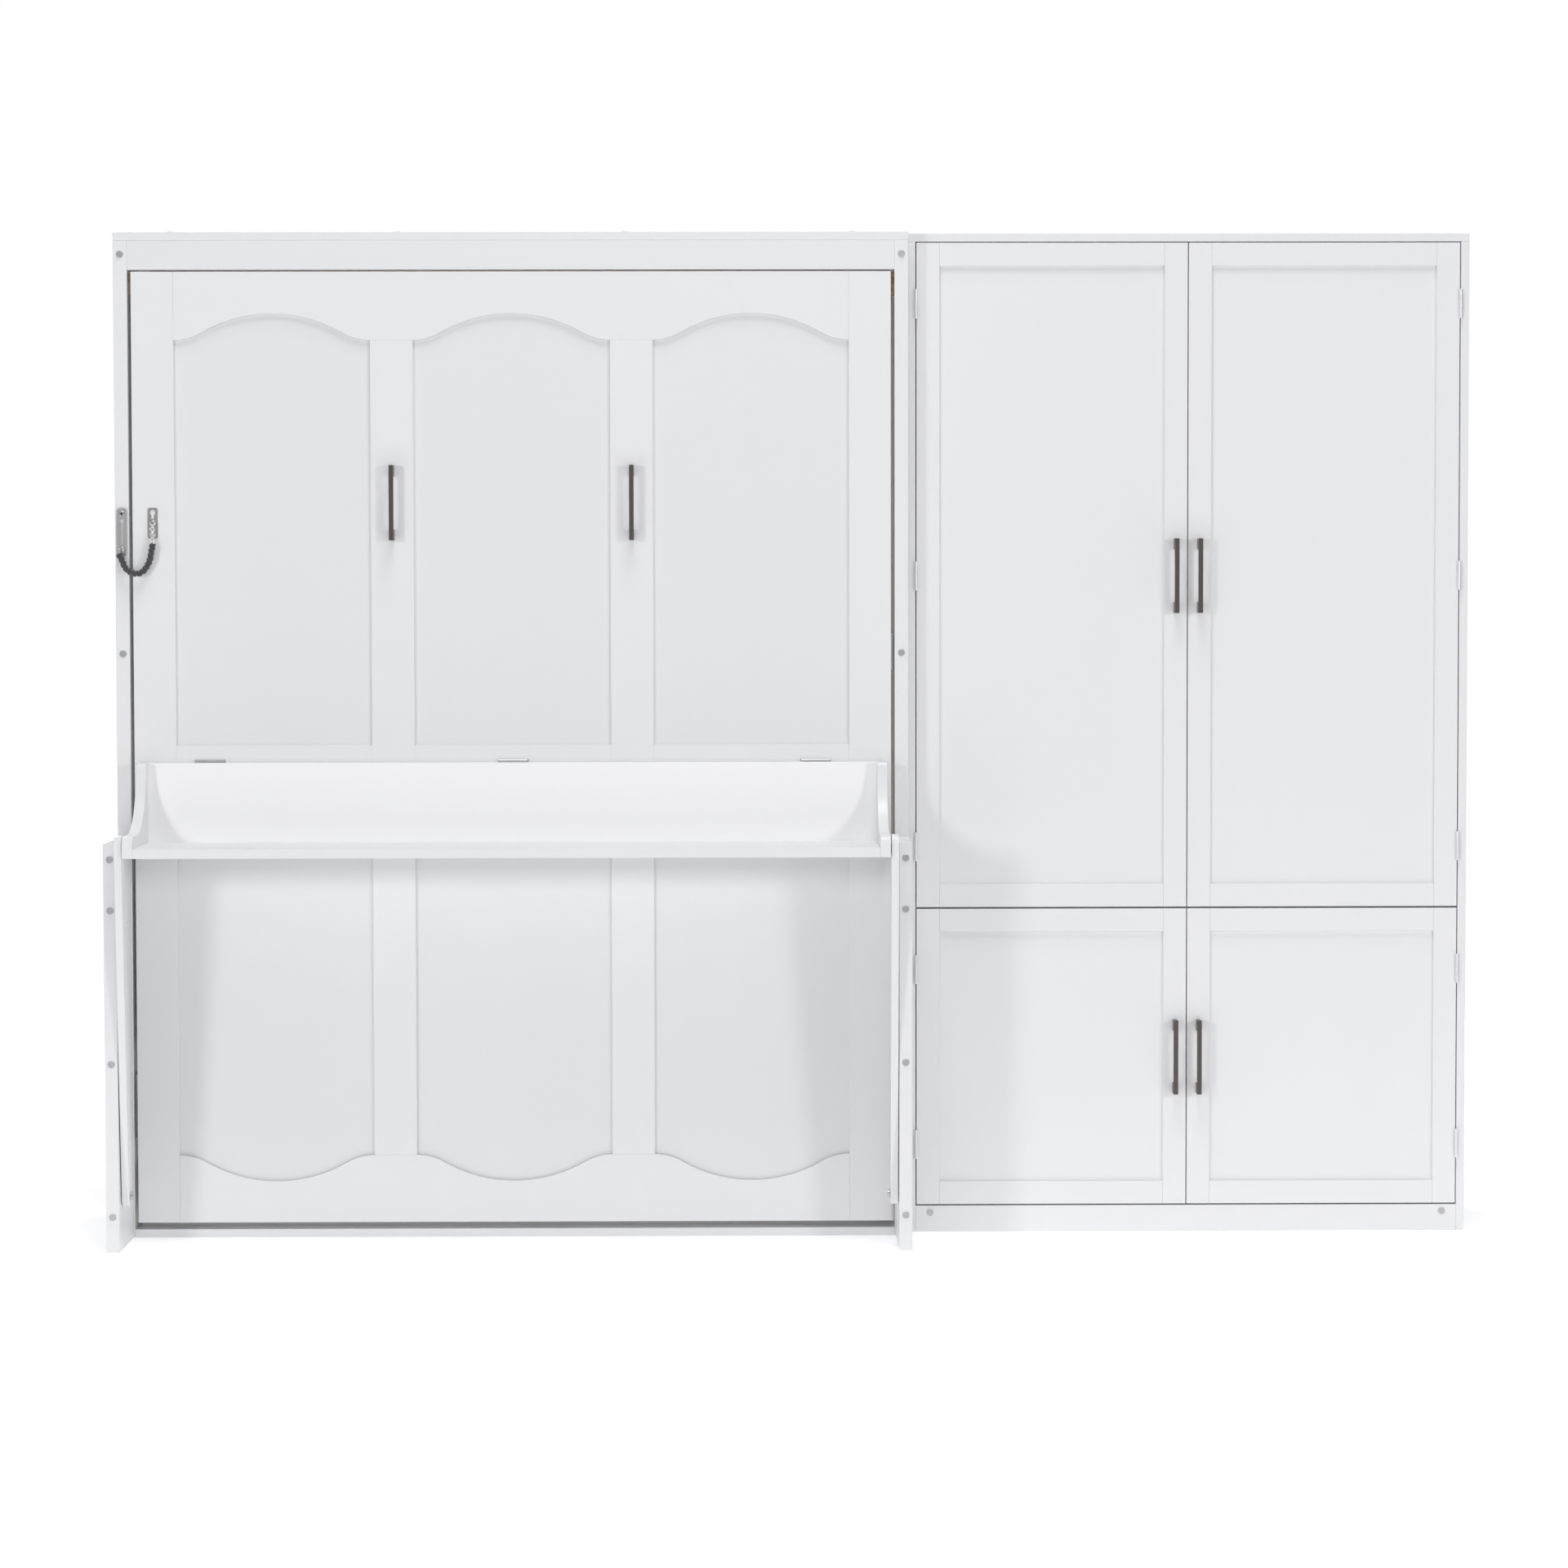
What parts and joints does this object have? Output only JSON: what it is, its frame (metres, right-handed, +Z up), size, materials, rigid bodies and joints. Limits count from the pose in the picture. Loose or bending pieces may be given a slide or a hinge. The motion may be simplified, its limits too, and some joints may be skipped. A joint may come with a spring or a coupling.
{
  "type": "wall bed with desk and wardrobe",
  "caption": "Vertical wall bed that folds down as its front desk stays level, beside a tall wardrobe with hinged upper and lower doors.",
  "frame": {"origin": "middle of the floor footprint, on the floor", "axes": "+X right seen from the front, +Z up, the front faces -Y and the wall is at +Y"},
  "size_m": [2.972, 0.67, 2.207],
  "materials": {
    "white_frame": "satin white paint",
    "white_panel": "satin white paint, a shade cooler",
    "white_board": "satin white paint",
    "dark_bronze": "satin dark bronze",
    "satin_steel": "satin",
    "bright_rod": "bright",
    "strut_black": "satin black",
    "sleeve_fabric": "matt braided sleeve",
    "slat_wood": "clear satin",
    "block_wood": "clear matt"
  },
  "bodies": {
    "cabinet": {"front_posts": "white_frame", "back_posts": "white_frame", "leg_posts": "white_frame", "side_rails": "white_frame", "side_panels": "white_panel", "top_board": "white_board", "top_fascia": "white_board", "bottom_board": "white_board", "back_rails": "white_board", "stop_blocks": "block_wood", "frame_bolts": "satin_steel", "pivot_plates": "satin_steel", "chain_track": "satin_steel", "wardrobe_sides": "white_board", "wardrobe_top": "white_board", "wardrobe_back": "white_panel", "wardrobe_plinth": "white_board", "wardrobe_bottom": "white_board", "wardrobe_divider": "white_board", "wardrobe_shelves": "white_board", "hanging_rod": "satin_steel", "case_hinge_leaves": "satin_steel"},
    "bed": {"bed_door_stiles": "white_frame", "bed_door_mullions": "white_frame", "bed_door_top_rail": "white_frame", "bed_door_bottom_rail": "white_frame", "bed_door_sheets": "white_panel", "bed_side_rails": "white_frame", "bed_end_rails": "white_frame", "slat_supports": "slat_wood", "bed_slats": "slat_wood", "bed_handles": "dark_bronze", "pivot_hubs": "satin_steel", "desk_hinge_fixed_leaves": "satin_steel", "chain_holder": "satin_steel", "chain_links": "satin_steel", "chain_sleeve": "sleeve_fabric"},
    "desk": {"desk_backboard": "white_board", "desk_top": "white_board", "desk_brackets": "white_frame", "desk_hardware": "satin_steel"},
    "left_arm": {"left_arm": "white_frame"},
    "right_arm": {"right_arm": "white_frame"},
    "chain_stud": {"chain_stud": "satin_steel"},
    "left_strut_cylinder": {"left_strut_cylinder": "strut_black"},
    "left_strut_rod": {"left_strut_rod": "bright_rod"},
    "right_strut_cylinder": {"right_strut_cylinder": "strut_black"},
    "right_strut_rod": {"right_strut_rod": "bright_rod"},
    "upper_left_door": {"upper_left_door": "white_frame", "upper_left_handle": "dark_bronze", "upper_left_hinge_leaves": "satin_steel"},
    "upper_right_door": {"upper_right_door": "white_frame", "upper_right_handle": "dark_bronze", "upper_right_hinge_leaves": "satin_steel"},
    "lower_left_door": {"lower_left_door": "white_frame", "lower_left_handle": "dark_bronze", "lower_left_hinge_leaves": "satin_steel"},
    "lower_right_door": {"lower_right_door": "white_frame", "lower_right_handle": "dark_bronze", "lower_right_hinge_leaves": "satin_steel"}
  },
  "joints": [
    {"name": "bed_fold", "type": "hinge", "parent": "cabinet", "child": "bed", "pos_m": [-0.6185, 0.006, 0.288], "axis": [1, 0, 0], "range_deg": [0, 90], "stiffness_Nm_per_rad": 300, "springref_deg": -11.46},
    {"name": "desk_level", "type": "hinge", "parent": "bed", "child": "desk", "pos_m": [-0.6185, -0.066, 1.05], "axis": [1, 0, 0], "range_deg": [-90, 0]},
    {"name": "left_arm_swing", "type": "hinge", "parent": "cabinet", "child": "left_arm", "pos_m": [-1.448, -0.233, 0.117], "axis": [1, 0, 0], "range_deg": [0, 90]},
    {"name": "right_arm_swing", "type": "hinge", "parent": "cabinet", "child": "right_arm", "pos_m": [0.211, -0.233, 0.117], "axis": [1, 0, 0], "range_deg": [0, 90]},
    {"name": "chain_stud_slide", "type": "slide", "parent": "bed", "child": "chain_stud", "axis": [0, 0, 1], "range_m": [0, 0.06]},
    {"name": "left_strut_swing", "type": "hinge", "parent": "cabinet", "child": "left_strut_cylinder", "pos_m": [-1.436, 0.145, 0.76], "axis": [1, 0, 0], "range_deg": [0, 5.6]},
    {"name": "left_strut_slide", "type": "slide", "parent": "left_strut_cylinder", "child": "left_strut_rod", "axis": [0, -0.2079, -0.9782], "range_m": [-0.118, 0]},
    {"name": "right_strut_swing", "type": "hinge", "parent": "cabinet", "child": "right_strut_cylinder", "pos_m": [0.199, 0.145, 0.76], "axis": [1, 0, 0], "range_deg": [0, 5.6]},
    {"name": "right_strut_slide", "type": "slide", "parent": "right_strut_cylinder", "child": "right_strut_rod", "axis": [0, -0.2079, -0.9782], "range_m": [-0.118, 0]},
    {"name": "upper_left_door_swing", "type": "hinge", "parent": "cabinet", "child": "upper_left_door", "pos_m": [0.268, -0.0189, 1.4535], "axis": [0, 0, -1], "range_deg": [0, 90]},
    {"name": "upper_right_door_swing", "type": "hinge", "parent": "cabinet", "child": "upper_right_door", "pos_m": [1.467, -0.0189, 1.4535], "axis": [0, 0, 1], "range_deg": [0, 110]},
    {"name": "lower_left_door_swing", "type": "hinge", "parent": "cabinet", "child": "lower_left_door", "pos_m": [0.268, -0.0189, 0.3895], "axis": [0, 0, -1], "range_deg": [0, 90]},
    {"name": "lower_right_door_swing", "type": "hinge", "parent": "cabinet", "child": "lower_right_door", "pos_m": [1.467, -0.0189, 0.3895], "axis": [0, 0, 1], "range_deg": [0, 110]}
  ],
  "couplings": [
    {"joint": "desk_level", "follows": "bed_fold", "ratio": -1},
    {"joint": "left_arm_swing", "follows": "bed_fold", "ratio": 1},
    {"joint": "right_arm_swing", "follows": "bed_fold", "ratio": 1},
    {"joint": "left_strut_swing", "follows": "bed_fold", "ratio": 0.06177},
    {"joint": "left_strut_slide", "follows": "bed_fold", "m_per_rad": -0.074889},
    {"joint": "right_strut_swing", "follows": "bed_fold", "ratio": 0.06177},
    {"joint": "right_strut_slide", "follows": "bed_fold", "m_per_rad": -0.074889}
  ]
}
